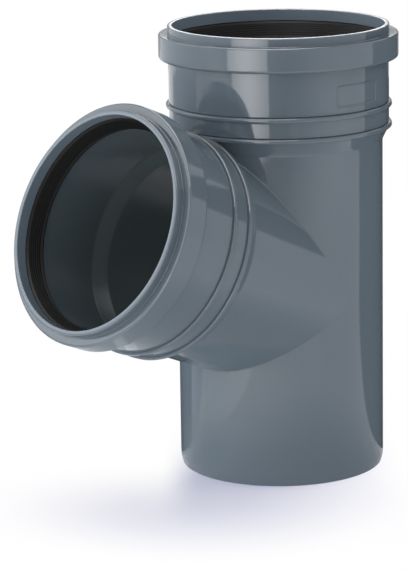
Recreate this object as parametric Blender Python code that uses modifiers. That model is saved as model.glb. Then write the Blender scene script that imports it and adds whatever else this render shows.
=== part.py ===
"""Push-fit drain pipe tee for 110 mm pipe, with one branch leaning 67.5 degrees from the run.

The body is one moulding that stands on its spigot end. Its run goes straight up along Z and its
branch leans towards -X. Each socket holds a rubber lip seal in a groove behind its mouth.
Lengths are in metres.
"""

import math

import bmesh
import bpy
from mathutils import Matrix, Vector

# Pipe and layout
PIPE_RADIUS = 0.0550
PIPE_WALL = 0.0032
BRANCH_ANGLE = math.radians(67.5)  # between the branch and the run's upper end
JUNCTION_HEIGHT = 0.0970  # from the spigot end up to where the two axes meet
SOCKET_REACH = 0.1415  # from where the axes meet to either mouth

# Spigot end
CHAMFER_LENGTH = 0.0040
CHAMFER_DEPTH = 0.0010

# Socket: a barrel round the inserted pipe, closed by a conical stop
SOCKET_CLEARANCE = 0.0002
SOCKET_WALL = 0.0032
SOCKET_DEPTH = 0.0540
STOP_LENGTH = 0.0065
TAPER_LENGTH = 0.0070
TAPER_START = 0.0007  # how far the outside taper starts past the socket's depth

# Mouth rim
RIM_RELIEF = 0.0009  # the rim's bore is this much wider than the socket's
RIM_WALL = 0.0026
RIM_HEIGHT = 0.0045
RIM_EDGE = 0.0005

# Bead that stands out round the seal groove
GROOVE_DEPTH = 0.0052
GROOVE_LENGTH = 0.0092
GROOVE_EDGE = 0.0006
BEAD_WALL = 0.0031
BEAD_TOP_FLANGE = 0.0017
BEAD_BOTTOM_FLANGE = 0.0022
BEAD_TOP_ROUNDING = 0.0009
BEAD_BOTTOM_ROUNDING = 0.0015

# Two stiffening ribs round the lower end of each barrel
RIB_HEIGHT = 0.0016
RIB_WIDTH = 0.0027
RIB_SPACING = 0.0110

# Lip seal
SEAL_CLEARANCE = 0.0003
SEAL_HEEL = 0.0029
LIP_BITE = 0.0024  # how far the lip's edge stands inside the pipe's surface
LIP_THICKNESS = 0.0014
LIP_OVERHANG = 0.0006  # how far the lip reaches past the groove

# Rounding in the crease between run and branch
CREASE_ROUNDING = 0.0014
CREASE_STEPS = 3
LEAST_CREASE = math.radians(12)  # where the two surfaces meet flatter than this, no rounding

# Facets
FACETS = 60
TAPER_STEPS = 4
RIB_STEPS = 4
EDGE_STEPS = 2
CUT_PAST = 0.0050  # how far a cutter runs out past an end
WELD = 1e-6

# Sizes that follow
SOCKET_BORE = PIPE_RADIUS + SOCKET_CLEARANCE
SOCKET_OUTSIDE = SOCKET_BORE + SOCKET_WALL
PIPE_BORE = PIPE_RADIUS - PIPE_WALL
RIM_BORE = SOCKET_BORE + RIM_RELIEF
RIM_OUTSIDE = RIM_BORE + RIM_WALL
GROOVE_RADIUS = SOCKET_BORE + GROOVE_DEPTH
BEAD_OUTSIDE = GROOVE_RADIUS + BEAD_WALL
GROOVE_TOP = RIM_HEIGHT + BEAD_TOP_FLANGE
GROOVE_BOTTOM = GROOVE_TOP + GROOVE_LENGTH
BEAD_BOTTOM = GROOVE_BOTTOM + BEAD_BOTTOM_FLANGE
TAPER_TOP = SOCKET_DEPTH + TAPER_START

# The origin is on the floor, in the middle of the part's bounding box
LEAN = math.pi / 2 - BRANCH_ANGLE
BRANCH_EDGE = SOCKET_REACH * math.cos(LEAN) + (RIM_OUTSIDE - RIM_EDGE) * math.sin(LEAN)
RUN_X = (BRANCH_EDGE - BEAD_OUTSIDE) / 2
MEETING = Vector((RUN_X, 0, JUNCTION_HEIGHT))
UP = Vector((0, 0, 1))
BRANCH_WAY = Vector((-math.cos(LEAN), 0, math.sin(LEAN)))


def arc(centre, radii, start, end, steps):
    """Points of a quarter or half round edge; angles in degrees, 0 outwards and 90 to the mouth."""
    angles = [math.radians(start + (end - start) * i / steps) for i in range(steps + 1)]
    return [
        (centre[0] + radii[0] * math.cos(a), centre[1] - radii[1] * math.sin(a)) for a in angles
    ]


def rib(top):
    """A half-round rib, as (radius, depth) points from its edge nearer the mouth."""
    middle = top + RIB_WIDTH / 2
    return arc((SOCKET_OUTSIDE, middle), (RIB_HEIGHT, RIB_WIDTH / 2), 90, -90, RIB_STEPS)


def socket_outside():
    """Outer profile of a socket, as (radius, depth below the mouth) from the axis to the pipe."""
    lower_rib = TAPER_TOP - RIB_WIDTH
    points = [(0, 0)]
    points += arc((RIM_OUTSIDE - RIM_EDGE, RIM_EDGE), (RIM_EDGE, RIM_EDGE), 90, 0, EDGE_STEPS)
    points += [(RIM_OUTSIDE, RIM_HEIGHT)]
    rounding = BEAD_TOP_ROUNDING
    points += arc(
        (BEAD_OUTSIDE - rounding, RIM_HEIGHT + rounding), (rounding, rounding), 90, 0, EDGE_STEPS
    )
    rounding = BEAD_BOTTOM_ROUNDING
    points += arc(
        (BEAD_OUTSIDE - rounding, BEAD_BOTTOM - rounding), (rounding, rounding), 0, -90, EDGE_STEPS
    )
    points += [(SOCKET_OUTSIDE, BEAD_BOTTOM)]
    points += rib(lower_rib - RIB_SPACING)
    points += rib(lower_rib)
    fall = SOCKET_OUTSIDE - PIPE_RADIUS
    for i in range(1, TAPER_STEPS + 1):
        share = i / TAPER_STEPS
        points.append((PIPE_RADIUS + fall * (1 - share) ** 2, TAPER_TOP + TAPER_LENGTH * share))
    return points


def socket_inside():
    """Bore profile of a socket, as (radius, depth) from past the mouth to the pipe's bore."""
    return [
        (0, -CUT_PAST),
        (RIM_BORE + RIM_EDGE + CUT_PAST, -CUT_PAST),
        (RIM_BORE, RIM_EDGE),
        (RIM_BORE, GROOVE_TOP),
        (GROOVE_RADIUS, GROOVE_TOP),
        (GROOVE_RADIUS, GROOVE_BOTTOM),
        (SOCKET_BORE + GROOVE_EDGE, GROOVE_BOTTOM),
        (SOCKET_BORE, GROOVE_BOTTOM + GROOVE_EDGE),
        (SOCKET_BORE, SOCKET_DEPTH),
        (PIPE_BORE, SOCKET_DEPTH + STOP_LENGTH),
    ]


def seal_section():
    """Closed section of a lip seal, as (radius, depth): a heel in the groove and a raked lip."""
    back = GROOVE_RADIUS - SEAL_CLEARANCE
    top = GROOVE_TOP + SEAL_CLEARANCE
    bottom = GROOVE_BOTTOM - SEAL_CLEARANCE
    edge = PIPE_RADIUS - LIP_BITE
    tip = GROOVE_BOTTOM + LIP_OVERHANG
    return [
        (RIM_BORE, top),
        (back, top),
        (back, bottom),
        (back - SEAL_HEEL, bottom),
        (back - SEAL_HEEL - LIP_THICKNESS / 2, (top + bottom) / 2),
        (edge + LIP_THICKNESS, tip),
        (edge + LIP_THICKNESS / 4, tip),
        (edge, tip - LIP_THICKNESS / 2),
        (SOCKET_BORE, top + LIP_THICKNESS / 2),
    ]


def collection(name):
    made = bpy.data.collections.new(name)
    bpy.context.scene.collection.children.link(made)
    return made


def material(name, colour, roughness, sheen=0.0):
    """A plain plastic or rubber finish."""
    made = bpy.data.materials.new(name)
    made.use_nodes = True
    shader = made.node_tree.nodes["Principled BSDF"]
    shader.inputs["Base Color"].default_value = (*colour, 1)
    shader.inputs["Roughness"].default_value = roughness
    shader.inputs["Metallic"].default_value = 0
    shader.inputs["Sheen Weight"].default_value = sheen
    return made


def turned(name, profile, into, closed=False):
    """An object whose (radius, height) profile is turned about its own Z axis."""
    mesh = bpy.data.meshes.new(name)
    count = len(profile)
    edges = [(i, (i + 1) % count) for i in range(count if closed else count - 1)]
    mesh.from_pydata([(radius, 0, height) for radius, height in profile], edges, [])
    made = bpy.data.objects.new(name, mesh)
    into.objects.link(made)
    screw = made.modifiers.new("turn", "SCREW")
    screw.steps = screw.render_steps = FACETS
    screw.use_merge_vertices = True
    screw.merge_threshold = WELD
    return made


def skin_of(name, profile, place, into):
    """The turned skin of a profile as a bmesh in world space."""
    helper = turned(name, profile, into)
    evaluated = helper.evaluated_get(bpy.context.evaluated_depsgraph_get())
    skin = bmesh.new()
    skin.from_mesh(evaluated.to_mesh())
    evaluated.to_mesh_clear()
    bpy.data.objects.remove(helper)
    bmesh.ops.transform(skin, matrix=place, verts=skin.verts)
    return skin


def run_place():
    return Matrix.Translation(MEETING)


def branch_place():
    """Turns the run's upper end down into the branch, about the point where the axes meet."""
    return Matrix.Translation(MEETING) @ Matrix.Rotation(-BRANCH_ANGLE, 4, "Y")


def mitre(skin, axis, keep_between):
    """Cuts a skin along the two mitre planes, which cross at right angles where the axes meet.

    The branch keeps what lies between the planes on its own side, and the run keeps the rest.
    """
    upper = (BRANCH_WAY + UP).normalized()
    lower = (BRANCH_WAY - UP).normalized()
    side = axis.cross(Vector((0, 1, 0)))
    for along, across in ((upper, lower), (lower, upper)):
        faces = [
            f
            for f in skin.faces
            if (f.calc_center_median() - MEETING).dot(side) * along.dot(side) > 0
        ]
        parts = set(faces)
        for f in faces:
            parts |= set(f.edges) | set(f.verts)
        bmesh.ops.bisect_plane(
            skin, geom=list(parts), dist=WELD / 10, plane_co=MEETING, plane_no=across
        )
    spare = []
    for f in skin.faces:
        centre = f.calc_center_median() - MEETING
        between = centre.dot(upper) > 0 and centre.dot(lower) > 0
        if between != keep_between:
            spare.append(f)
    bmesh.ops.delete(skin, geom=spare, context="FACES")


def tee_skin(name, run_profile, branch_profile, into):
    """One closed skin of two turned shapes that meet along their mitre planes."""
    skin = skin_of("run skin", run_profile, run_place(), into)
    mitre(skin, UP, keep_between=False)
    branch = skin_of("branch skin", branch_profile, branch_place(), into)
    mitre(branch, BRANCH_WAY, keep_between=True)
    loose = bpy.data.meshes.new("branch skin")
    branch.to_mesh(loose)
    branch.free()
    skin.from_mesh(loose)
    bpy.data.meshes.remove(loose)
    bmesh.ops.remove_doubles(skin, verts=skin.verts, dist=WELD * 5)
    bmesh.ops.recalc_face_normals(skin, faces=skin.faces)
    return skin


def object_of(name, skin, into):
    mesh = bpy.data.meshes.new(name)
    skin.to_mesh(mesh)
    skin.free()
    made = bpy.data.objects.new(name, mesh)
    into.objects.link(made)
    return made


def round_crease(skin):
    """Rounds the crease between the two pipes, from the crotch round to where it fades out."""
    upper = (BRANCH_WAY + UP).normalized()
    lower = (BRANCH_WAY - UP).normalized()
    pipe_end = SOCKET_REACH - TAPER_TOP - TAPER_LENGTH - 2 * CREASE_ROUNDING
    crease = []
    for edge in skin.edges:
        ends = [v.co - MEETING for v in edge.verts]
        on_plane = any(all(abs(p.dot(plane)) < 5 * WELD for p in ends) for plane in (upper, lower))
        on_pipe = all(p.dot(UP) < pipe_end and p.dot(BRANCH_WAY) < pipe_end for p in ends)
        if on_plane and on_pipe and edge.calc_face_angle(0) > LEAST_CREASE:
            crease.append(edge)
    bmesh.ops.bevel(
        skin,
        geom=crease,
        offset=CREASE_ROUNDING,
        offset_type="OFFSET",
        segments=CREASE_STEPS,
        profile=0.5,
        affect="EDGES",
        loop_slide=True,
    )


def from_meeting(socket):
    """A socket's (radius, depth) points as (radius, distance from where the axes meet)."""
    return [(radius, SOCKET_REACH - depth) for radius, depth in socket]


def body(parts, cutters):
    """The moulding: two sockets and a spigot in one piece, with its bores cut out."""
    spigot = [
        (PIPE_RADIUS, CHAMFER_LENGTH - JUNCTION_HEIGHT),
        (PIPE_RADIUS - CHAMFER_DEPTH, -JUNCTION_HEIGHT),
        (0, -JUNCTION_HEIGHT),
    ]
    inner_end = [(PIPE_RADIUS, -PIPE_RADIUS)]
    outside = from_meeting(socket_outside())
    skin = tee_skin("tee_body", outside + spigot, outside + inner_end, cutters)
    round_crease(skin)
    made = object_of("tee_body", skin, parts)

    through = [(PIPE_BORE, -JUNCTION_HEIGHT - CUT_PAST), (0, -JUNCTION_HEIGHT - CUT_PAST)]
    inner_end = [(PIPE_BORE, -PIPE_RADIUS)]
    inside = from_meeting(socket_inside())
    bores = object_of("bores", tee_skin("bores", inside + through, inside + inner_end, cutters), cutters)
    bores.hide_render = True
    bores.display_type = "WIRE"
    cut = made.modifiers.new("bores", "BOOLEAN")
    cut.operation = "DIFFERENCE"
    cut.object = bores
    return made


def seal(name, place, parts):
    """A rubber ring with a lip, sitting in the groove of the socket at this place."""
    made = turned(name, from_meeting(seal_section()), parts, closed=True)
    made.matrix_world = place
    return made


def finish(made, look):
    made.data.materials.append(look)
    for modifier in made.modifiers:
        if modifier.type == "SCREW":
            modifier.use_smooth_shade = True
    if made.data.polygons:
        made.data.shade_smooth()
        made.data.set_sharp_from_angle(angle=math.radians(35))


def main():
    for old in list(bpy.data.objects):
        bpy.data.objects.remove(old)
    parts = collection("pipe_tee")
    cutters = collection("cutters")
    plastic = material("grey moulded plastic", (0.105, 0.135, 0.158), 0.22)
    rubber = material("black rubber", (0.012, 0.012, 0.013), 0.55, sheen=0.1)
    finish(body(parts, cutters), plastic)
    finish(seal("run_seal", run_place(), parts), rubber)
    finish(seal("branch_seal", branch_place(), parts), rubber)


main()
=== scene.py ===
import math

import bmesh
import bpy
import numpy as np
from mathutils import Matrix, Vector


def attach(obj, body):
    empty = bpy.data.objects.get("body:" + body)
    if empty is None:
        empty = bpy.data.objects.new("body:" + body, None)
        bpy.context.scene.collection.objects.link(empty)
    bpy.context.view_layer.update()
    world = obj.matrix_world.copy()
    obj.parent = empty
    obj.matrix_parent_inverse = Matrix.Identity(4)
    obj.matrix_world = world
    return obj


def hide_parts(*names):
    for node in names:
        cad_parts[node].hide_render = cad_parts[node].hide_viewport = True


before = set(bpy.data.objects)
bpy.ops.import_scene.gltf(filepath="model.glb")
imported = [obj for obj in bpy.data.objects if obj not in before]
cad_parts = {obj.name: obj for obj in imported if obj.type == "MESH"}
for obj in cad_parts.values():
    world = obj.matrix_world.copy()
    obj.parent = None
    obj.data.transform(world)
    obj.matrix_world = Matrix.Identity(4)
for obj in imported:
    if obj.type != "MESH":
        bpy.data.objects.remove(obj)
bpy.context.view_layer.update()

# The moulding
# Run, branch, sockets and spigot are one injection moulding in glossy blue-grey PVC-U. Each arm is
# a turned shape, and the two meet along mitre planes, with a small radius in the crease. Sizes are
# in mm, but in metres where MM stands; reach runs from where the axes meet, depth from the mouth.

MM = 0.001
PIPE = 55.0
PIPE_BORE = 51.8
SOCKET_BORE = 55.2
BARREL = 58.4
BEAD = 63.499
RIM = 58.7
RIM_BORE = 56.1
GROOVE = 60.4
RIB = 60.0
REACH = 141.5
JUNCTION = 97.0
RUN_X = 44.751
RIM_HEIGHT = 4.5
GROOVE_TOP = 6.2
GROOVE_END = 15.4
BEAD_END = 17.6
RIB_DEPTHS = (52.0, 41.0)
RIB_WIDTH = 2.7
BARREL_END = 54.7
TAPER = 7.0
TAPER_STEPS = 8
TAPER_BEND = 1.15
RUN_UNDERCUT = 0.4
BRANCH_UNDERCUT = 0.15
SOCKET_DEPTH = 54.0
STOP = 6.5
STOP_ROUNDING = 3.0
CHAMFER_DEPTH = 1.0
CHAMFER_LENGTH = 4.0
FACETS = 192
WELD = 0.001 * MM
BRANCH_ANGLE = math.radians(67.5)
UP = Vector((0, 0, 1))
BRANCH_WAY = Vector((-math.sin(BRANCH_ANGLE), 0, math.cos(BRANCH_ANGLE)))
MEETING = Vector((RUN_X, 0, JUNCTION)) * MM
RUN_PLACE = Matrix.Translation(MEETING)
BRANCH_PLACE = RUN_PLACE @ Matrix.Rotation(-BRANCH_ANGLE, 4, "Y")
UPPER = (BRANCH_WAY + UP).normalized()  # from where the axes meet, along the upper mitre plane
LOWER = (BRANCH_WAY - UP).normalized()  # and along the lower one


def outline(corners, closed=False, beside=0.25, arc_step=13):
    """(radius, reach) points along a smooth outline, from (radius, reach, rounding) corners.

    A point stands close beside each rounding, so that the flats between them shade flat.
    """
    bows = []
    count = len(corners)
    for i, (radius, reach, rounding) in enumerate(corners):
        here = np.array((radius, reach))
        if rounding == 0 or (not closed and i in (0, count - 1)):
            bows.append([here])
            continue
        back = np.array(corners[i - 1][:2]) - here
        ahead = np.array(corners[(i + 1) % count][:2]) - here
        back /= np.linalg.norm(back)
        ahead /= np.linalg.norm(ahead)
        turn = math.pi - math.acos(np.clip(back @ ahead, -1, 1))
        middle = (back + ahead) / np.linalg.norm(back + ahead)
        centre = here + middle * rounding / math.cos(turn / 2)
        first = here + back * rounding * math.tan(turn / 2) - centre
        last = here + ahead * rounding * math.tan(turn / 2) - centre
        steps = max(2, math.ceil(math.degrees(turn) / arc_step))
        shares = [k / steps for k in range(steps + 1)]
        arc = [math.sin((1 - s) * turn) * first + math.sin(s * turn) * last for s in shares]
        bows.append([centre + spoke / math.sin(turn) for spoke in arc])
    points = []
    for i, bow in enumerate(bows):
        points += bow
        if not closed and i == count - 1:
            break
        following = bows[(i + 1) % count]
        way = following[0] - bow[-1]
        gap = np.linalg.norm(way)
        step = min(beside / gap, 1 / 3)
        if gap > beside and len(bow) > 1:
            points.append(bow[-1] + way * step)
        if gap > beside and len(following) > 1:
            points.append(following[0] - way * step)
    return [tuple(p) for p in points]


def socket_corners(undercut):
    """A socket's corners: from the pipe up the outside, over the rim and down to the pipe's bore.

    The undercut is a fine line along the mouth side of each rib.
    """
    corners = [(PIPE, REACH - BARREL_END - TAPER - 0.25, 0)]  # keeps the pipe's shading flat
    for i in range(TAPER_STEPS):
        share = i / TAPER_STEPS
        radius = PIPE + (BARREL - PIPE) * share**TAPER_BEND
        corners.append((radius, REACH - BARREL_END - TAPER * (1 - share), 0))
    for depth in RIB_DEPTHS:
        low, high = REACH - depth - RIB_WIDTH, REACH - depth
        corners += [
            (BARREL, low, 0.25),
            (RIB, low, 1.1),
            (RIB, high, 1.1),
            (BARREL - undercut, high, 0),
            (BARREL, high + undercut, 0.1),
        ]
    corners += [
        (BARREL, REACH - BEAD_END, 0.35),
        (BEAD, REACH - BEAD_END, 1.5),
        (BEAD, REACH - RIM_HEIGHT, 0.9),
        (RIM, REACH - RIM_HEIGHT, 0.35),
        (RIM, REACH, 0.68),
        (RIM_BORE, REACH, 0.5),
        (RIM_BORE, REACH - GROOVE_TOP, 0.15),
        (GROOVE, REACH - GROOVE_TOP, 0.3),
        (GROOVE, REACH - GROOVE_END, 0.3),
        (SOCKET_BORE, REACH - GROOVE_END, 0.6),
        (SOCKET_BORE, REACH - SOCKET_DEPTH + 0.8, STOP_ROUNDING),
        (PIPE_BORE, REACH - SOCKET_DEPTH - STOP - 1.2, STOP_ROUNDING),
    ]
    return corners


def add_node(tree, kind, settings, links):
    """A geometry node with its settings, then its inputs: sockets are linked, the rest are set."""
    node = tree.nodes.new(kind)
    for name, value in settings.items():
        setattr(node, name, value)
    for name, value in links.items():
        if isinstance(value, bpy.types.NodeSocket):
            tree.links.new(value, node.inputs[name])
        else:
            node.inputs[name].default_value = value
    return node


def named_sockets(tree, inputs, output):
    """Gives a tree its named inputs and its one geometry output, and returns the input node."""
    for name, kind in inputs:
        tree.interface.new_socket(name, in_out="INPUT", socket_type=kind)
    tree.interface.new_socket(output, in_out="OUTPUT", socket_type="NodeSocketGeometry")
    return tree.nodes.new("NodeGroupInput").outputs


def turning_tree():
    """Geometry nodes that turn a chain of points in the XZ plane about Z, as a lathe would."""
    tree = bpy.data.node_groups.new("turned about z", "GeometryNodeTree")
    given = named_sockets(
        tree,
        (
            ("Chain", "NodeSocketGeometry"),
            ("Facets", "NodeSocketInt"),
            ("Finish", "NodeSocketMaterial"),
        ),
        "Skin",
    )
    integer = "FunctionNodeIntegerMath"
    size = add_node(tree, "GeometryNodeAttributeDomainSize", {}, {"Geometry": given["Chain"]})
    rows = size.outputs["Point Count"]
    columns = add_node(tree, integer, {"operation": "ADD"}, {0: given["Facets"], 1: 1})
    grid = add_node(
        tree, "GeometryNodeMeshGrid", {}, {"Vertices X": columns.outputs[0], "Vertices Y": rows}
    )
    index = add_node(tree, "GeometryNodeInputIndex", {}, {}).outputs[0]
    row = add_node(tree, integer, {"operation": "MODULO"}, {0: index, 1: rows})
    column = add_node(tree, integer, {"operation": "DIVIDE_FLOOR"}, {0: index, 1: rows})
    place = add_node(tree, "GeometryNodeInputPosition", {}, {}).outputs[0]
    sample = add_node(
        tree,
        "GeometryNodeSampleIndex",
        {"data_type": "FLOAT_VECTOR", "domain": "POINT"},
        {"Geometry": given["Chain"], "Value": place, "Index": row.outputs[0]},
    )
    share = add_node(
        tree, "ShaderNodeMath", {"operation": "DIVIDE"}, {0: column.outputs[0], 1: given["Facets"]}
    )
    angle = add_node(
        tree, "ShaderNodeMath", {"operation": "MULTIPLY"}, {0: share.outputs[0], 1: math.tau}
    )
    turn = add_node(
        tree,
        "ShaderNodeVectorRotate",
        {"rotation_type": "Z_AXIS"},
        {"Vector": sample.outputs["Value"], "Angle": angle.outputs[0]},
    )
    moved = add_node(
        tree,
        "GeometryNodeSetPosition",
        {},
        {"Geometry": grid.outputs["Mesh"], "Position": turn.outputs[0]},
    )
    whole = add_node(
        tree, "GeometryNodeMergeByDistance", {}, {"Geometry": moved.outputs[0], "Distance": WELD}
    )
    smooth = add_node(tree, "GeometryNodeSetShadeSmooth", {}, {0: whole.outputs[0]})
    real = add_node(tree, "GeometryNodeRealizeInstances", {}, {0: smooth.outputs[0]})
    painted = add_node(
        tree,
        "GeometryNodeSetMaterial",
        {},
        {"Geometry": real.outputs[0], "Material": given["Finish"]},
    )
    out = tree.nodes.new("NodeGroupOutput")
    tree.links.new(painted.outputs[0], out.inputs["Skin"])
    return tree


def mesh_from_tree(name, chain, tree, values):
    """The plain mesh that a tree makes of a chain of points, with its named inputs set."""
    start = bpy.data.meshes.new(name + " chain")
    start.from_pydata(chain, [(i, i + 1) for i in range(len(chain) - 1)], [])
    helper = bpy.data.objects.new(name + " helper", start)
    bpy.context.scene.collection.objects.link(helper)
    modifier = helper.modifiers.new("shape", "NODES")
    modifier.node_group = tree
    for item in tree.interface.items_tree:
        if item.in_out == "INPUT" and item.name in values:
            modifier[item.identifier] = values[item.name]
    graph = bpy.context.evaluated_depsgraph_get()
    made = bpy.data.meshes.new_from_object(helper.evaluated_get(graph))
    bpy.data.objects.remove(helper)
    made.name = name
    return made


def turned(name, points, place, finish, closed=False):
    """A turned skin of (radius, reach) points about an arm's axis, in the part's frame."""
    ring = points + points[:1] if closed else points
    chain = [(radius * MM, 0, reach * MM) for radius, reach in ring]
    made = mesh_from_tree(name, chain, TURNING, {"Facets": FACETS, "Finish": finish})
    made.transform(place)
    return made


LOOPS_BESIDE = (0, 0.3, 0.65, 1.05, 1.5, 2.1, 2.9)  # offsets from a mitre plane


def mitred(mesh, axis, keep_between):
    """A skin cut along the two mitre planes, with loops beside them to carry the crease's radius.

    The branch keeps what lies between the planes on its own side, and the run keeps the rest.
    """
    skin = bmesh.new()
    skin.from_mesh(mesh)
    side = axis.cross(Vector((0, 1, 0)))
    inwards = 1 if keep_between else -1
    for along, across in ((UPPER, LOWER), (LOWER, UPPER)):
        for offset in LOOPS_BESIDE:
            centre = MEETING + across * offset * inwards * MM
            faces = [
                f
                for f in skin.faces
                if (f.calc_center_median() - MEETING).dot(side) * along.dot(side) > 0
            ]
            parts = set(faces)
            for f in faces:
                parts |= set(f.edges) | set(f.verts)
            bmesh.ops.bisect_plane(
                skin, geom=list(parts), dist=WELD / 10, plane_co=centre, plane_no=across
            )
    spare = []
    for f in skin.faces:
        centre = f.calc_center_median() - MEETING
        between = centre.dot(UPPER) > 0 and centre.dot(LOWER) > 0
        if between != keep_between:
            spare.append(f)
    bmesh.ops.delete(skin, geom=spare, context="FACES")
    return skin


def arm_fields(points):
    """For both arms: reach along the axis, radius from it, and the way outwards, in metres."""
    fields = []
    offset = points - np.array(MEETING)
    for axis in (UP, BRANCH_WAY):
        way = np.array(axis)
        reach = offset @ way
        radial = offset - reach[:, None] * way
        radius = np.linalg.norm(radial, axis=1)
        fields.append((reach, radius, radial / np.maximum(radius, 1e-9)[:, None]))
    return fields


def outer_radius(reach):
    """The outside radius of pipe, taper and barrel at a reach, without beads and ribs."""
    top = (REACH - BARREL_END) * MM
    share = np.clip((reach - top) / (TAPER * MM) + 1, 0, 1)
    return (PIPE + (BARREL - PIPE) * share**TAPER_BEND) * MM


CREASE_RADIUS = 0.8 * MM
CREASE_FADE = (81.5 * MM, 86.4 * MM)  # reaches between which the radius fades out below the ribs
CREASE_BACK = -70 * MM
CREASE_ROUNDS = 6
ON_SKIN = 0.05 * MM
NEAR_CREASE = 8 * MM
SLOPE_STEP = 0.001 * MM


def eased_surface(points):
    """How far points lie outside the two pipes, joined by a rolling radius in their crease."""
    (reach_a, radius_a, way_a), (reach_b, radius_b, way_b) = arm_fields(points)
    outside_a = radius_a - outer_radius(reach_a)
    outside_b = radius_b - outer_radius(reach_b)
    half = np.sqrt(np.clip((1 + np.sum(way_a * way_b, axis=1)) / 2, 0, 1))
    reach = np.maximum(reach_a, reach_b)
    share = np.clip((CREASE_FADE[1] - reach) / (CREASE_FADE[1] - CREASE_FADE[0]), 0, 1)
    width = 4 * CREASE_RADIUS * (1 - half) * share * share * (3 - 2 * share) + 1e-9
    near = np.maximum(width - np.abs(outside_a - outside_b), 0) / width
    return np.minimum(outside_a, outside_b) - near**2 * width / 4


def ease_crease(mesh):
    """Moves the outer vertices near the crease out onto the joined surface."""
    points = np.empty(len(mesh.vertices) * 3)
    mesh.vertices.foreach_get("co", points)
    points = points.reshape(-1, 3)
    (reach_a, radius_a, _), (reach_b, radius_b, _) = arm_fields(points)
    outside = np.stack((radius_a - outer_radius(reach_a), radius_b - outer_radius(reach_b)))
    on_skin = np.abs(outside.min(axis=0)) < ON_SKIN
    near = outside.max(axis=0) < NEAR_CREASE
    low = np.maximum(reach_a, reach_b) < CREASE_FADE[1]
    chosen = on_skin & near & low & (np.minimum(reach_a, reach_b) > CREASE_BACK)
    moving = points[chosen]
    for _ in range(CREASE_ROUNDS):
        height = eased_surface(moving)
        slope = np.empty_like(moving)
        for axis in range(3):
            shift = np.zeros(3)
            shift[axis] = SLOPE_STEP
            slope[:, axis] = eased_surface(moving + shift) - eased_surface(moving - shift)
        slope /= 2 * SLOPE_STEP
        moving = moving - slope * (height / np.sum(slope**2, axis=1))[:, None]
    points[chosen] = moving
    mesh.vertices.foreach_set("co", points.ravel())
    mesh.update()


MID_WALL_DEPTHS = (0, 5, 6, 16, 17, 54, 61)
MID_WALL = (57.4, 57.4, 61.5, 61.5, 56.8, 56.8, 53.4)  # radius of the wall's middle, by depth
DEEP_FROM = 8
DEEP_OVER = 25


def mark_arms(mesh):
    """Stores where each vertex is: outside, on the branch, how deep inside, on the thin lip."""
    points = np.empty(len(mesh.vertices) * 3)
    mesh.vertices.foreach_get("co", points)
    points = points.reshape(-1, 3)
    (reach_a, radius_a, _), (reach_b, radius_b, _) = arm_fields(points)
    middle = []
    for reach, radius in ((reach_a, radius_a), (reach_b, radius_b)):
        wall = np.interp(REACH - reach / MM, MID_WALL_DEPTHS, MID_WALL)
        middle.append(radius - wall * MM)
    offset = points - np.array(MEETING)
    on_branch = (offset @ np.array(LOWER) > 0) & (offset @ np.array(UPPER) > 0)
    outside = np.where(on_branch, middle[1], middle[0]) > 0
    reach = np.where(on_branch, reach_b, reach_a)
    depth = REACH - reach / MM
    fields = {
        "outside": outside,
        "on_branch": on_branch,
        # painted shade: where the bores are made darker, growing with depth
        "deep": np.clip((depth - DEEP_FROM) / DEEP_OVER, 0, 1) * (1 - outside),
        # painted light: where the lip's inner face is made lighter
        "lip": np.clip(GROOVE_TOP + 1 - depth, 0, 1) * (1 - outside),
    }
    for name, values in fields.items():
        stored = mesh.attributes.new(name, "FLOAT", "POINT")
        stored.data.foreach_set("value", values.astype(np.float32))


SHARP = math.radians(40)


def finished(name, mesh):
    """An object at the origin with smooth shading, sharp only at real edges."""
    mesh.shade_smooth()
    mesh.set_sharp_from_angle(angle=SHARP)
    made = bpy.data.objects.new(name, mesh)
    bpy.context.scene.collection.objects.link(made)
    return made


class Wire:
    """A shader socket that plain arithmetic can be written on."""

    def __init__(self, tree, socket=None):
        self.tree = tree
        self.socket = socket

    def node(self, kind, settings=None, inputs=None, output=0):
        """Any node: its settings first, then its sockets' values or links."""
        made = self.tree.nodes.new(kind)
        for name, value in (settings or {}).items():
            setattr(made, name, value)
        for name, value in (inputs or {}).items():
            if isinstance(value, Wire):
                self.tree.links.new(value.socket, made.inputs[name])
            else:
                made.inputs[name].default_value = value
        return Wire(self.tree, made.outputs[output])

    def math(self, operation, *values):
        return self.node("ShaderNodeMath", {"operation": operation}, dict(enumerate(values)))

    def __add__(self, other):
        return self.math("ADD", self, other)

    __radd__ = __add__

    def __mul__(self, other):
        return self.math("MULTIPLY", self, other)

    __rmul__ = __mul__

    def __sub__(self, other):
        return self.math("SUBTRACT", self, other)

    def __rsub__(self, other):
        return self.math("SUBTRACT", other, self)

    def __lt__(self, other):
        return self.math("LESS_THAN", self, other)

    def absolute(self):
        return self.math("ABSOLUTE", self)

    def noise(self, scale, detail=2.0, roughness=0.5, place=None):
        """Noise from 0 to 1 with a mean of 0.5, at a scale in features per metre."""
        inputs = {"Scale": scale, "Detail": detail, "Roughness": roughness}
        inputs["Vector"] = place or self.node("ShaderNodeTexCoord", output="Object")
        return self.node("ShaderNodeTexNoise", {"normalize": True}, inputs)

    def attribute(self, name):
        return self.node("ShaderNodeAttribute", {"attribute_name": name}, output="Fac")


def new_finish(name, values):
    """A material with a Principled shader, its plain values set on its own sockets."""
    material = bpy.data.materials.new(name)
    material.use_nodes = True
    tree = material.node_tree
    shader = tree.nodes["Principled BSDF"]
    for socket, value in values.items():
        shader.inputs[socket].default_value = value
    return material, Wire(tree), shader


def connect(wire, shader, socket):
    wire.tree.links.new(wire.socket, shader.inputs[socket])


def bump(start, height):
    """A normal from a height in metres."""
    inputs = {"Strength": 1.0, "Distance": 1.0, "Height": height}
    return start.node("ShaderNodeBump", {}, inputs)


def tinted(start, colour, amount):
    """A colour that a number near 1 makes lighter or darker."""
    return start.node(
        "ShaderNodeVectorMath",
        {"operation": "SCALE"},
        {"Vector": colour, "Scale": amount},
    )


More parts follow.
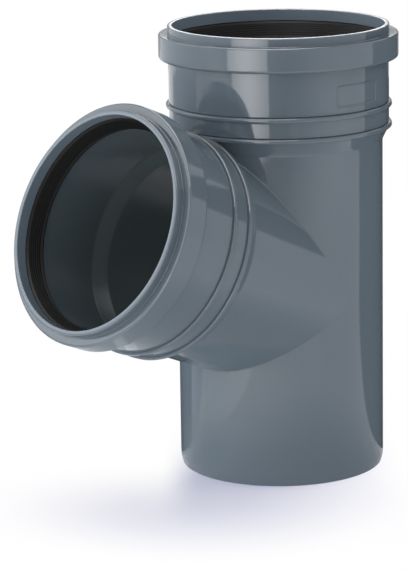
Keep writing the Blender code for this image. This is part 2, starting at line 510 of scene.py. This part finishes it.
GREY = (0.101, 0.130, 0.158)
# painted shade: the bores turn towards this darker grey further in
SHADED_BORE_GREY = (0.088, 0.112, 0.118)
# painted light: how much lighter the lip's inner face is made
PAINTED_LIP_LIGHT = 0.4
GREY_ROUGHNESS = 0.06
BORE_ROUGHER = 0.10
FLOW_SCALE = 16  # features per metre, as for the scales below
MOTTLE_SCALE = 420
GRAIN_SCALE = 2600
WAVE_SCALE = 26
RIPPLE_SCALE = 110
DRAW_MARKS = (700, 700, 9)  # streaks per metre across and along the draw
WAVE_HEIGHT = 0.16 * MM
RIPPLE_HEIGHT = 0.018 * MM
GRAIN_HEIGHT = 0.0012 * MM
DRAW_MARK_HEIGHT = 0.004 * MM
PARTING_HEIGHT = 0.04 * MM
PARTING_HALF_WIDTH = 0.12 * MM


def plastic_finish(name):
    """Glossy PVC-U: slight waves and flow marks, draw marks in the bores, a faint parting line.

    Inside, the lip above the seal's groove is made pale by painted light.
    """
    material, start, shader = new_finish(name, {"IOR": 1.5, "Metallic": 0.0})
    place = start.node("ShaderNodeTexCoord", output="Object")
    outside = start.attribute("outside")
    on_branch = start.attribute("on_branch")
    flow = start.noise(FLOW_SCALE, 3)
    mottle = start.noise(MOTTLE_SCALE, 3)
    grain = start.noise(GRAIN_SCALE, 2)

    mapping, point = "ShaderNodeMapping", {"vector_type": "POINT"}
    along_run = start.node(mapping, point, {"Vector": place, "Scale": DRAW_MARKS})
    rotation = {"Vector": place, "Rotation": (0, BRANCH_ANGLE, 0)}
    turned_back = start.node(mapping, point, rotation)
    along_branch = start.node(mapping, point, {"Vector": turned_back, "Scale": DRAW_MARKS})
    run_streaks = start.noise(1, 2, 0.5, along_run)
    branch_streaks = start.noise(1, 2, 0.5, along_branch)
    streaks = run_streaks + on_branch * (branch_streaks - run_streaks)
    inside = 1 - outside

    # painted light: the lip's inner face is made lighter
    painted_lip_light = 1 + start.attribute("lip") * PAINTED_LIP_LIGHT
    shade = (0.945 + flow * 0.07 + mottle * 0.04) * painted_lip_light
    # painted shade: the grey darkens deeper in the bores
    bore_shade = {0: start.attribute("deep"), 6: (*GREY, 1), 7: (*SHADED_BORE_GREY, 1)}
    grey = start.node("ShaderNodeMix", {"data_type": "RGBA"}, bore_shade, output=2)
    connect(tinted(start, grey, shade), shader, "Base Color")
    rough = GREY_ROUGHNESS + mottle * 0.02 + inside * (BORE_ROUGHER + streaks * 0.12)
    connect(rough, shader, "Roughness")

    across = place.node("ShaderNodeSeparateXYZ", {}, {"Vector": place}, output="Y")
    parting = (across.absolute() < PARTING_HALF_WIDTH) * outside
    waves = start.noise(WAVE_SCALE, 1, 0.4) * WAVE_HEIGHT
    ripples = start.noise(RIPPLE_SCALE, 2) * RIPPLE_HEIGHT
    height = waves + ripples + grain * GRAIN_HEIGHT + parting * PARTING_HEIGHT
    height = height + inside * streaks * DRAW_MARK_HEIGHT
    connect(bump(start, height), shader, "Normal")
    return material


TURNING = turning_tree()
PLASTIC = plastic_finish("blue-grey PVC-U")

spigot_start = [
    (PIPE_BORE, -JUNCTION, 0.3),
    (PIPE - CHAMFER_DEPTH, -JUNCTION, 0.8),
    (PIPE, CHAMFER_LENGTH - JUNCTION, 6.0),
]
run_points = outline(spigot_start + socket_corners(RUN_UNDERCUT), closed=True)
branch_start = [(PIPE, -PIPE, 0)]
branch_end = [(PIPE_BORE, -PIPE, 0)]
branch_points = outline(branch_start + socket_corners(BRANCH_UNDERCUT) + branch_end)

skin = mitred(turned("run", run_points, RUN_PLACE, PLASTIC, closed=True), UP, keep_between=False)
branch_skin = mitred(
    turned("branch", branch_points, BRANCH_PLACE, PLASTIC), BRANCH_WAY, keep_between=True
)
branch_mesh = bpy.data.meshes.new("branch half")
branch_skin.to_mesh(branch_mesh)
branch_skin.free()
skin.from_mesh(branch_mesh)
bmesh.ops.remove_doubles(skin, verts=skin.verts, dist=WELD * 8)
bmesh.ops.recalc_face_normals(skin, faces=skin.faces)
flaps = {face for edge in skin.edges if edge.is_boundary for face in edge.link_faces}
bmesh.ops.delete(skin, geom=list(flaps), context="FACES")
moulding_mesh = bpy.data.meshes.new("moulding")
skin.to_mesh(moulding_mesh)
skin.free()
moulding_mesh.materials.append(PLASTIC)
mark_arms(moulding_mesh)
ease_crease(moulding_mesh)
moulding = finished("moulding", moulding_mesh)
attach(moulding, "root")
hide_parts("tee_body")

# The lip seals
# Each socket holds a ring of black EPDM rubber. Its heel fills the groove in the bead, and its
# raked lip, with fine sealing ridges on the face that the pipe slides over, leans into the bore.

SEAL_GAP = 0.3
SEAL_BACK = GROOVE - SEAL_GAP
SEAL_TOP = GROOVE_TOP + SEAL_GAP
SEAL_END = GROOVE_END - SEAL_GAP
LIP_EDGE = 52.6
LIP_END = 16.0
LIP = 1.4
RIDGES = 6
RIDGE_PROUD = 0.05
RIDGE_WIDTH = 0.8
RUBBER_BLACK = (0.0070, 0.0072, 0.0074)
RUBBER_ROUGHNESS = 0.34
TALC_SCALE = 300
BLOOM_SCALE = 60
RUBBER_SKIN_SCALE = 3200
RUBBER_SKIN_HEIGHT = 0.006 * MM
RUBBER_MOTTLE_HEIGHT = 0.02 * MM


def seal_corners():
    """The ring's closed section, from the heel round to the ridged face, in radius and reach."""
    face_top = np.array((SOCKET_BORE + 0.2, SEAL_TOP + 0.3))
    face_end = np.array((LIP_EDGE + 0.35, LIP_END - 1.0))
    way = (face_end - face_top) / np.linalg.norm(face_end - face_top)
    outwards = np.array((-way[1], way[0]))
    pitch = np.linalg.norm(face_end - face_top) / (RIDGES + 1)
    corners = [
        (LIP_EDGE, LIP_END - LIP / 2, 0.3),
        (LIP_EDGE + LIP / 4, LIP_END, 0.25),
        (LIP_EDGE + LIP, LIP_END, 0.2),
        (SEAL_BACK - 3.6, (SEAL_TOP + SEAL_END) / 2, 0.8),
        (SEAL_BACK - 2.9, SEAL_END, 0.3),
        (SEAL_BACK, SEAL_END, 0.5),
        (SEAL_BACK, SEAL_TOP, 0.5),
        (face_top[0] + 0.6, SEAL_TOP, 0.25),
    ]
    for i in range(RIDGES):
        middle = face_top + way * pitch * (i + 1)
        for along, proud, rounding in (
            (-0.5, 0, 0.1),
            (-0.22, 1, 0.12),
            (0.22, 1, 0.12),
            (0.5, 0, 0.1),
        ):
            spot = middle + way * along * RIDGE_WIDTH - outwards * proud * RIDGE_PROUD
            corners.append((*spot, rounding))
    return [(radius, REACH - depth, rounding) for radius, depth, rounding in corners]


def rubber_finish(name):
    """Soft black rubber: matt, faintly mottled with talc, with a fine skin."""
    plain = {"IOR": 1.45, "Metallic": 0.0, "Specular IOR Level": 0.15}
    material, start, shader = new_finish(name, plain)
    mottle = start.noise(TALC_SCALE, 4)
    bloom = start.noise(BLOOM_SCALE, 2)
    shade = 0.6 + mottle * 0.5 + bloom * 0.3
    connect(tinted(start, RUBBER_BLACK, shade), shader, "Base Color")
    connect(RUBBER_ROUGHNESS + mottle * 0.16 + bloom * 0.06, shader, "Roughness")
    skin_height = start.noise(RUBBER_SKIN_SCALE, 2) * RUBBER_SKIN_HEIGHT
    skin_height = skin_height + mottle * RUBBER_MOTTLE_HEIGHT
    connect(bump(start, skin_height), shader, "Normal")
    return material


def turned_outwards(mesh, weld=0.0):
    """Merges a closed skin's doubles, where asked, and points its faces outwards."""
    closed_skin = bmesh.new()
    closed_skin.from_mesh(mesh)
    if weld:
        bmesh.ops.remove_doubles(closed_skin, verts=closed_skin.verts, dist=weld)
    bmesh.ops.recalc_face_normals(closed_skin, faces=closed_skin.faces)
    closed_skin.to_mesh(mesh)
    closed_skin.free()


RUBBER = rubber_finish("black EPDM rubber")
seal_points = outline(seal_corners(), closed=True, beside=0.1, arc_step=22)
for seal_name, node_name, place in (
    ("run_lip_seal", "run_seal", RUN_PLACE),
    ("branch_lip_seal", "branch_seal", BRANCH_PLACE),
):
    seal_mesh = turned(seal_name, seal_points, place, RUBBER, closed=True)
    turned_outwards(seal_mesh)
    lip_seal = finished(seal_name, seal_mesh)
    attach(lip_seal, "root")
    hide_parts(node_name)

# The marking panel
# A low raised border on the run's socket, between the bead and the ribs, plain inside. It is part
# of the same moulding, left by a shallow channel in the mould, and follows the barrel round.

PANEL_WIDTH = 28.6
PANEL_HEIGHT = 10.8
PANEL_CORNER = 1.6
PANEL_LINE = 0.42
PANEL_REACH = 109.8
PANEL_TURN = math.radians(271.4)
PANEL_POINTS = 240
PANEL_LINE_SIDES = 10


def wrapping_tree():
    """Geometry nodes that lay a rounded rectangle's rim round a barrel, as a thin raised line."""
    tree = bpy.data.node_groups.new("border round a barrel", "GeometryNodeTree")
    given = named_sockets(
        tree,
        (
            ("Chain", "NodeSocketGeometry"),
            ("Width", "NodeSocketFloat"),
            ("Height", "NodeSocketFloat"),
            ("Corner", "NodeSocketFloat"),
            ("Line", "NodeSocketFloat"),
            ("Barrel", "NodeSocketFloat"),
            ("Turn", "NodeSocketFloat"),
            ("Finish", "NodeSocketMaterial"),
        ),
        "Border",
    )
    box = add_node(
        tree,
        "GeometryNodeCurvePrimitiveQuadrilateral",
        {},
        {"Width": given["Width"], "Height": given["Height"]},
    )
    soft = add_node(
        tree,
        "GeometryNodeFilletCurve",
        {"mode": "POLY"},
        {"Curve": box.outputs[0], "Count": 8, "Radius": given["Corner"], "Limit Radius": True},
    )
    fine = add_node(
        tree, "GeometryNodeResampleCurve", {}, {"Curve": soft.outputs[0], "Count": PANEL_POINTS}
    )
    section = add_node(
        tree,
        "GeometryNodeCurvePrimitiveCircle",
        {},
        {"Resolution": PANEL_LINE_SIDES, "Radius": given["Line"]},
    )
    rim = add_node(
        tree,
        "GeometryNodeCurveToMesh",
        {},
        {"Curve": fine.outputs[0], "Profile Curve": section.outputs[0], "Fill Caps": True},
    )
    place = add_node(tree, "GeometryNodeInputPosition", {}, {}).outputs[0]
    parts = add_node(tree, "ShaderNodeSeparateXYZ", {}, {0: place})
    arithmetic, add = "ShaderNodeMath", {"operation": "ADD"}
    along = {0: parts.outputs["X"], 1: given["Barrel"]}
    angle = add_node(tree, arithmetic, {"operation": "DIVIDE"}, along)
    facing = add_node(tree, arithmetic, add, {0: angle.outputs[0], 1: given["Turn"]})
    out_by = add_node(tree, arithmetic, add, {0: parts.outputs["Z"], 1: given["Barrel"]})
    spoke = add_node(
        tree,
        "ShaderNodeCombineXYZ",
        {},
        {"X": out_by.outputs[0], "Z": parts.outputs["Y"]},
    )
    turn = add_node(
        tree,
        "ShaderNodeVectorRotate",
        {"rotation_type": "Z_AXIS"},
        {"Vector": spoke.outputs[0], "Angle": facing.outputs[0]},
    )
    laid = add_node(
        tree,
        "GeometryNodeSetPosition",
        {},
        {"Geometry": rim.outputs[0], "Position": turn.outputs[0]},
    )
    smooth = add_node(tree, "GeometryNodeSetShadeSmooth", {}, {0: laid.outputs[0]})
    real = add_node(tree, "GeometryNodeRealizeInstances", {}, {0: smooth.outputs[0]})
    painted = add_node(
        tree,
        "GeometryNodeSetMaterial",
        {},
        {"Geometry": real.outputs[0], "Material": given["Finish"]},
    )
    out = tree.nodes.new("NodeGroupOutput")
    tree.links.new(painted.outputs[0], out.inputs["Border"])
    return tree


panel_mesh = mesh_from_tree(
    "marking_border",
    [(0, 0, 0), (0, 0, MM)],
    wrapping_tree(),
    {
        "Width": PANEL_WIDTH * MM,
        "Height": PANEL_HEIGHT * MM,
        "Corner": PANEL_CORNER * MM,
        "Line": PANEL_LINE * MM,
        "Barrel": BARREL * MM,
        "Turn": PANEL_TURN,
        "Finish": PLASTIC,
    },
)
panel_mesh.transform(Matrix.Translation((0, 0, PANEL_REACH * MM)))
panel_mesh.transform(RUN_PLACE)
turned_outwards(panel_mesh, WELD)
mark_arms(panel_mesh)
border = finished("marking_border", panel_mesh)
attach(border, "root")

# The camera
# It stands 1.5 m in front and 0.44 m up, with a long lens, and looks a little down on the part,
# turned so that the branch leans to the left and towards it.

CAMERA_DISTANCE = 1.49268
CAMERA_HEIGHT = 0.44328
CAMERA_YAW = -0.0274325
CAMERA_PITCH = 0.2276582
CAMERA_ROLL = 0.0156820
FOCAL_PIXELS = 2843.1
IMAGE_HEIGHT = 569
SENSOR = 36
VIEW_TURN = math.radians(-43.869)

turn = Matrix.Rotation(VIEW_TURN, 3, "Z")
towards = Vector(
    (
        math.sin(CAMERA_YAW) * math.cos(CAMERA_PITCH),
        math.cos(CAMERA_YAW) * math.cos(CAMERA_PITCH),
        -math.sin(CAMERA_PITCH),
    )
)
level = Vector((math.cos(CAMERA_YAW), -math.sin(CAMERA_YAW), 0))
down = towards.cross(level)
right = turn @ (level * math.cos(CAMERA_ROLL) + down * math.sin(CAMERA_ROLL))
down = turn @ (down * math.cos(CAMERA_ROLL) - level * math.sin(CAMERA_ROLL))
towards = turn @ towards
spot = turn @ Vector((0, -CAMERA_DISTANCE, CAMERA_HEIGHT)) + Vector((RUN_X * MM, 0, 0))
lens = bpy.data.cameras.new("camera")
lens.sensor_fit = "AUTO"
lens.sensor_width = SENSOR
lens.lens = FOCAL_PIXELS * SENSOR / IMAGE_HEIGHT
lens.clip_start = 0.01
lens.clip_end = 50
camera = bpy.data.objects.new("camera", lens)
bpy.context.scene.collection.objects.link(camera)
aim = Matrix((right, -down, -towards)).transposed().to_4x4()
camera.matrix_world = Matrix.Translation(spot) @ aim
bpy.context.scene.camera = camera
VIEW_RIGHT = turn @ Vector((1, 0, 0))
VIEW_BEHIND = turn @ Vector((0, 1, 0))
AXIS = Vector((RUN_X * MM, 0, 0))


def stage_place(right_by, behind_by, height):
    """A place beside the part: metres to the camera's right, behind the run, and up."""
    return AXIS + VIEW_RIGHT * right_by + VIEW_BEHIND * behind_by + UP * height


# The floor
# A plain white table top. What it shows is white, except where the part keeps light from it: there
# it is a faint lilac, deeper close to the spigot's foot.

FLOOR_SIZE = 6.0
WHITE = (1, 1, 1, 1)
TABLE_WHITE = (0.80, 0.80, 0.80, 1)
TABLE_GLOW = 0.5
SHADOW_SPOT = (0.043, 0.004)  # to the right and behind, as in stage_place
SHADOW_NARROW = 0.79
SHADOW_REACH = (0.233, 0.487)
SHADOW_SIDES = (0.043, 0.067)
SHADOW_BACK = (-0.142, -0.002)
# painted shade: less white is added near CONTACT_SPOT, so the shadow shows deeper there
CONTACT_SPOT = (-0.042, -0.070)
CONTACT_REACH = (0.0165, 0.115)
CONTACT = ((0.800, 0.803, 0.765), (0.0, 0.0, 0.125))  # what light is kept, and what is added
SHADOW = ((0.242, 0.269, 0.076), (0.772, 0.745, 0.930))


def ramp(value, low, high):
    """A number from 0 at low to 1 at high, eased at both ends."""
    inputs = {"Value": value, "From Min": low, "From Max": high}
    return value.node("ShaderNodeMapRange", {"interpolation_type": "SMOOTHSTEP"}, inputs)


def bare(owner):
    """A material or world with an empty node tree, as a start for its nodes."""
    owner.use_nodes = True
    owner.node_tree.nodes.clear()
    return Wire(owner.node_tree)


def shown_by(shader, kind="ShaderNodeOutputMaterial"):
    """Ends a tree with the output that shows a shader."""
    out = shader.tree.nodes.new(kind)
    shader.tree.links.new(shader.socket, out.inputs["Surface"])


def seen_rays(start):
    """1 for rays that the eye follows, straight, in a mirror or in glass, and 0 for the rest."""
    path = start.tree.nodes.new("ShaderNodeLightPath")
    seen = Wire(start.tree, path.outputs["Is Camera Ray"])
    for kind in ("Is Glossy Ray", "Is Transmission Ray"):
        seen = seen.math("MAXIMUM", seen, Wire(start.tree, path.outputs[kind]))
    return seen


def glow(start, colour, strength):
    """A plain shine of one colour, where 1 is white."""
    return start.node("ShaderNodeEmission", {}, {"Color": colour, "Strength": strength})


def floor_finish():
    """Matt white that shows the part's shadow in faint lilac, and plain white past its reach."""
    material = bpy.data.materials.new("white table top")
    start = bare(material)
    seen = seen_rays(start)
    place = start.node("ShaderNodeTexCoord", output="Object")
    measure = "ShaderNodeVectorMath"
    offset = start.node(measure, {"operation": "SUBTRACT"}, {0: place, 1: AXIS})
    dot = {"operation": "DOT_PRODUCT"}
    to_right = start.node(measure, dot, {0: offset, 1: VIEW_RIGHT}, output="Value")
    behind = start.node(measure, dot, {0: offset, 1: VIEW_BEHIND}, output="Value")
    aside, beyond = (to_right - SHADOW_SPOT[0]) * SHADOW_NARROW, behind - SHADOW_SPOT[1]
    distance = start.math("SQRT", aside * aside + beyond * beyond)
    back = ramp(behind, *SHADOW_BACK) * ramp(to_right.absolute(), *SHADOW_SIDES)
    far = back.math("MAXIMUM", back, ramp(distance, *SHADOW_REACH))
    aside, beyond = to_right - CONTACT_SPOT[0], behind - CONTACT_SPOT[1]
    distance = start.math("SQRT", aside * aside + beyond * beyond)
    matt = start.node("ShaderNodeBsdfDiffuse", {}, {"Color": TABLE_WHITE})
    table = start.node("ShaderNodeAddShader", {}, {0: matt, 1: glow(start, WHITE, TABLE_GLOW)})
    kept = []
    for shade, added in (CONTACT, SHADOW):
        shown = start.node("ShaderNodeBsdfDiffuse", {}, {"Color": (*shade, 1)})
        lift = glow(start, (*added, 1), 1.0)
        kept.append(start.node("ShaderNodeAddShader", {}, {0: shown, 1: lift}))
    shadow = {"Fac": ramp(distance, *CONTACT_REACH), 1: kept[0], 2: kept[1]}
    kept = start.node("ShaderNodeMixShader", {}, shadow)
    plain = glow(start, WHITE, 1.0)
    near_part = start.node("ShaderNodeMixShader", {}, {"Fac": far, 1: kept, 2: plain})
    shown_by(start.node("ShaderNodeMixShader", {}, {"Fac": seen, 1: table, 2: near_part}))
    return material


floor_mesh = bpy.data.meshes.new("table_top")
half = FLOOR_SIZE / 2
floor_mesh.from_pydata(
    [(-half, -half, 0), (half, -half, 0), (half, half, 0), (-half, half, 0)], [], [(0, 1, 2, 3)]
)
floor_mesh.materials.append(floor_finish())
table_top = bpy.data.objects.new("table_top", floor_mesh)
bpy.context.scene.collection.objects.link(table_top)

# The light
# A white room, a large soft light low on the left and a weaker one high on the right. The cards
# light nothing: they are what the glossy plastic mirrors, bright in front, above and on the left,
# dark behind, in patches over the floor, and small ones beside the spigot and under the branch.

CENTRE = Vector((0.0, 0.0, 0.12))
ROOM_LIGHT = 0.667
CARD_ENDS = ((-0.155, -0.89), (-0.65, -0.60))
SPOT_ENDS = ((-0.155, -0.88), (-0.65, -0.59))
SPOT_CENTRE = (-0.42, -0.73, 0.12)
CARD_FOOT = 0.023
SHEET_TINT = (0.9, 0.95, 1, 1)
GLOW_HEIGHT = 0.0003  # the cards over the floor lie in four planes, the darkest on top
GREY_HEIGHT = 0.0004
SHADE_HEIGHT = 0.0005
DARK_HEIGHT = 0.0006
UNDER_BRANCH = 0.062
SHADE_FOOT = (-0.062, -0.035)  # of the small card beside the spigot
SHADE_FOOT_REACH = 0.042


def soft_light(name, place, width, height, brightness):
    """A rectangular soft light that faces the part; brightness is its own radiance."""
    data = bpy.data.lights.new(name, "AREA")
    data.shape = "RECTANGLE"
    data.size = width
    data.size_y = height
    data.energy = brightness * math.pi * width * height
    made = bpy.data.objects.new(name, data)
    bpy.context.scene.collection.objects.link(made)
    aim = (CENTRE - place).to_track_quat("-Z", "Y")
    made.matrix_world = Matrix.Translation(place) @ aim.to_matrix().to_4x4()
    made.visible_camera = False
    made.visible_glossy = False


def card(name, corners, strength, fade=None, colour=WHITE):
    """A flat card that only reflections see; fade is a place and the reach at which it ends."""
    mesh = bpy.data.meshes.new(name)
    mesh.from_pydata([tuple(c) for c in corners], [], [tuple(range(len(corners)))])
    material = bpy.data.materials.new(name)
    start = bare(material)
    surface = glow(start, colour, strength)
    if fade:
        spot, reach = fade
        place = start.node("ShaderNodeTexCoord", output="Object")
        measure = "ShaderNodeVectorMath"
        away = start.node(measure, {"operation": "DISTANCE"}, {0: place, 1: spot}, output="Value")
        clear = start.node("ShaderNodeBsdfTransparent")
        ends = {"Fac": ramp(away, 0.0, reach), 1: surface, 2: clear}
        surface = start.node("ShaderNodeMixShader", {}, ends)
    shown_by(surface)
    mesh.materials.append(material)
    made = bpy.data.objects.new(name, mesh)
    bpy.context.scene.collection.objects.link(made)
    made.visible_camera = False
    made.visible_diffuse = False
    made.visible_shadow = False
    made.visible_transmission = False
    made.visible_volume_scatter = False


def upright(name, ends, low, high, strength, fade=None):
    """An upright card between two places on the floor, given to the right and behind."""
    (x0, y0), (x1, y1) = ends
    corners = [(x0, y0, low), (x1, y1, low), (x1, y1, high), (x0, y0, high)]
    card(name, [stage_place(*c) for c in corners], strength, fade)


def sheet(name, places, height, strength):
    """A card that lies level, through places to the right and behind."""
    card(name, [stage_place(*p, height) for p in places], strength, colour=SHEET_TINT)


def floor_glow(name, place, reach, strength, height=GLOW_HEIGHT):
    """A round patch of another brightness over the floor, which fades out at its reach."""
    x, y = place
    ends = ((-1, -1), (1, -1), (1, 1), (-1, 1))
    corners = [stage_place(x + u * reach, y + v * reach, height) for u, v in ends]
    card(name, corners, strength, (stage_place(x, y, height), reach))


soft_light("left_box", stage_place(-1.5, 0.0, 0.45), width=2.6, height=0.88, brightness=3.2)
soft_light("right_box", stage_place(0.92, 0.0, 1.30), width=1.33, height=1.33, brightness=1.1)
upright("bright_card", CARD_ENDS, low=CARD_FOOT, high=0.9, strength=3.1)
upright(
    "bright_spot",
    SPOT_ENDS,
    low=0.024,
    high=0.6,
    strength=6.0,
    fade=(stage_place(*SPOT_CENTRE), 0.36),
)
upright("card_foot", CARD_ENDS, low=0.013, high=CARD_FOOT, strength=0.05)
upright("grey_behind", ((-0.75, 1.42), (0.45, 1.29)), low=0.0, high=0.95, strength=0.5)
upright("dark_behind", ((0.45, 1.29), (1.05, 1.22)), low=0.0, high=0.95, strength=0.05)
upright("slit_behind", ((-0.15, 1.3), (0.15, 1.3)), low=0.44, high=1.2, strength=4.5)
upright("left_glow", ((-1.5, -0.7), (-1.5, 0.7)), low=0.45, high=1.15, strength=2.9)
upright("dark_wall", ((1.60, 0.285), (1.05, 1.22)), low=0.0, high=0.84, strength=0.02)
card(
    "bright_above",
    [stage_place(x, y, 1.2) for x, y in ((-0.5, -0.8), (0.25, -0.8), (0.25, 0.8), (-0.5, 0.8))],
    strength=6.5,
)
floor_glow("glow_front", (-0.20, -0.35), reach=0.42, strength=3.2)
floor_glow("glow_front_right", (0.354, -0.42), reach=0.5, strength=1.6)
floor_glow("glow_right", (0.93, -0.58), reach=0.7, strength=1.5)
floor_glow("glow_left", (-1.21, -0.70), reach=0.6, strength=1.6)
floor_glow("shade_front", (0.20, -1.30), reach=0.9, strength=0.25)
floor_glow("shade_near", (0.03, -0.07), reach=0.19, strength=0.3, height=SHADE_HEIGHT)
foot_x, foot_y = SHADE_FOOT
upright(
    "shade_left",
    ((foot_x, foot_y - SHADE_FOOT_REACH), (foot_x, foot_y + SHADE_FOOT_REACH)),
    low=0.0,
    high=SHADE_FOOT_REACH,
    strength=0.4,
    fade=(stage_place(foot_x, foot_y, 0.0), SHADE_FOOT_REACH),
)
sheet(
    "dark_sheet",
    (
        (0.0, 0.05),
        (0.055, 0.013),
        (0.233, 0.014),
        (0.333, 0.016),
        (0.443, 0.025),
        (0.564, 0.050),
        (0.701, 0.079),
        (0.859, 0.102),
        (1.6, 0.27),
        (1.2, 1.3),
        (0, 1.5),
    ),
    DARK_HEIGHT,
    strength=0.02,
)
sheet(
    "left_shade",
    (
        (-0.062, 0.008),
        (-0.089, 0.006),
        (-0.103, 0.012),
        (-0.234, 0.091),
        (-0.535, 0.272),
        (0, 0.6),
        (0, 0.1),
        (-0.03, 0.06),
        (-0.05, 0.03),
    ),
    DARK_HEIGHT,
    strength=0.03,
)
for sheet_name, left_end, right_end, brightness in (
    ("under_bead", -0.14, -0.083, 0.7),
    ("under_barrel", -0.083, -0.075, 1.2),
):
    sheet(
        sheet_name,
        ((left_end, -0.12), (right_end, -0.12), (right_end, 0.0), (left_end, 0.0)),
        UNDER_BRANCH,
        brightness,
    )
sheet(
    "grey_near",
    ((0, 0.003), (-0.3, 0.003), (-0.5, 0.0276), (-0.39, 0.5)),
    GREY_HEIGHT,
    strength=0.64,
)
sheet(
    "grey_sheet",
    ((-1.45, 0.08), (-0.5, 0.0276), (-0.39, 0.5), (-0.85, 1.08), (-1.12, 0.92), (-1.32, 0.6)),
    GREY_HEIGHT,
    strength=0.4,
)

world = bpy.data.worlds.new("white room")
bpy.context.scene.world = world
air = bare(world)
backdrop = "ShaderNodeBackground"
lighting = air.node(backdrop, {}, {"Color": WHITE, "Strength": ROOM_LIGHT})
plain_white = air.node(backdrop, {}, {"Color": WHITE, "Strength": 1.0})
room = {"Fac": seen_rays(air), 1: lighting, 2: plain_white}
shown_by(air.node("ShaderNodeMixShader", {}, room), "ShaderNodeOutputWorld")
bpy.context.scene.view_settings.view_transform = "Standard"
